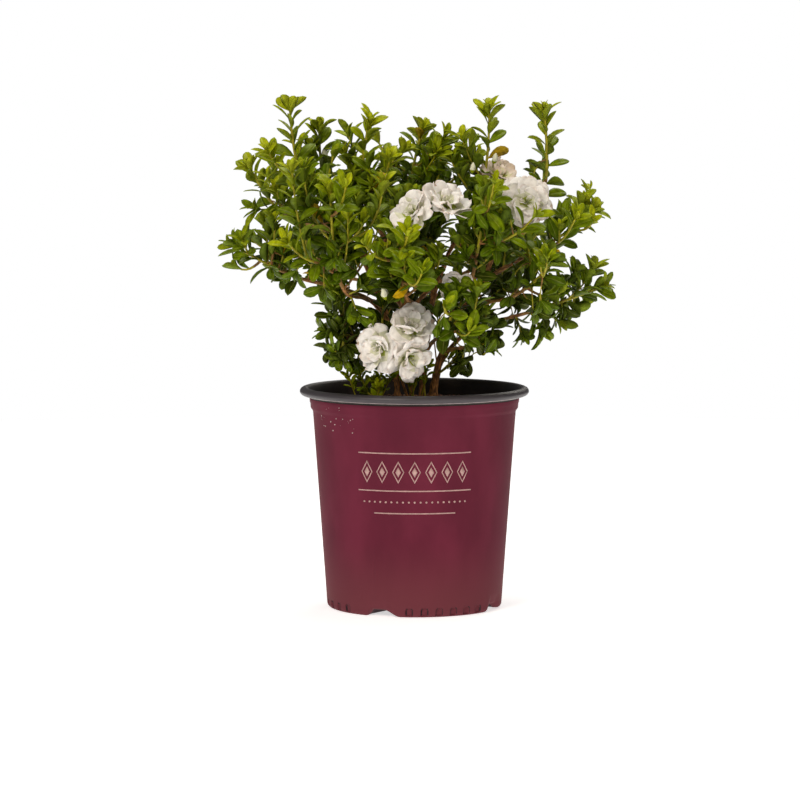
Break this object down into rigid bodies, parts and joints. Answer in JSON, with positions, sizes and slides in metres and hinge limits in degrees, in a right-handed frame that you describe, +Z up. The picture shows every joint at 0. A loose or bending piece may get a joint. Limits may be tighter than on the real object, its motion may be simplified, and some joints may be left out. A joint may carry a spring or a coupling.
{
  "type": "azalea shrub in a nursery pot",
  "caption": "Small evergreen azalea with white double blooms, standing in a round tapered plastic nursery pot.",
  "frame": {"origin": "centre of the flat underside of the pot, on the level that it stands on", "axes": "+Z up along the pot's axis, +X to the right and -Y towards the front as the plant is seen"},
  "size_m": [0.4276, 0.3868, 0.5559],
  "materials": {
    "pot_plastic": "satin moulded",
    "potting_mix": "rough loose",
    "bark": "fine rough bark",
    "foliage": "semi gloss leaf"
  },
  "bodies": {
    "root": {"pot": "pot_plastic", "potting_mix": "potting_mix", "stem_left_top": "bark", "stem_right_up": "bark", "stem_right_peak": "bark", "stem_middle_left_top": "bark", "bough_left_low": "bark", "bough_left_middle": "bark", "bough_left_back_top": "bark", "bough_low_left": "bark", "bough_front_left": "bark", "bough_right_low": "bark", "bough_right_far_peak": "bark", "bough_low_right": "bark", "bough_front_right": "bark", "bough_right_front": "bark", "bough_right_inner": "bark", "bough_middle_top": "bark", "bough_front_middle": "bark", "bough_front_low": "bark", "bough_bloom_cluster": "bark", "bough_back_left": "bark", "bough_back_middle": "bark", "bough_back_right": "bark", "bough_back_top": "bark", "bough_back_low": "bark", "bough_centre": "bark", "foliage_left_top": "foliage", "foliage_right_up": "foliage", "foliage_right_peak": "foliage", "foliage_middle_left_top": "foliage", "foliage_left_low": "foliage", "foliage_left_middle": "foliage", "foliage_left_back_top": "foliage", "foliage_low_left": "foliage", "foliage_front_left": "foliage", "foliage_right_low": "foliage", "foliage_right_far_peak": "foliage", "foliage_low_right": "foliage", "foliage_front_right": "foliage", "foliage_right_front": "foliage", "foliage_right_inner": "foliage", "foliage_middle_top": "foliage", "foliage_front_middle": "foliage", "foliage_front_low": "foliage", "foliage_bloom_cluster": "foliage", "foliage_back_left": "foliage", "foliage_back_middle": "foliage", "foliage_back_right": "foliage", "foliage_back_top": "foliage", "foliage_back_low": "foliage", "foliage_centre": "foliage", "foliage_basal_shoots": "foliage"}
  },
  "joints": []
}
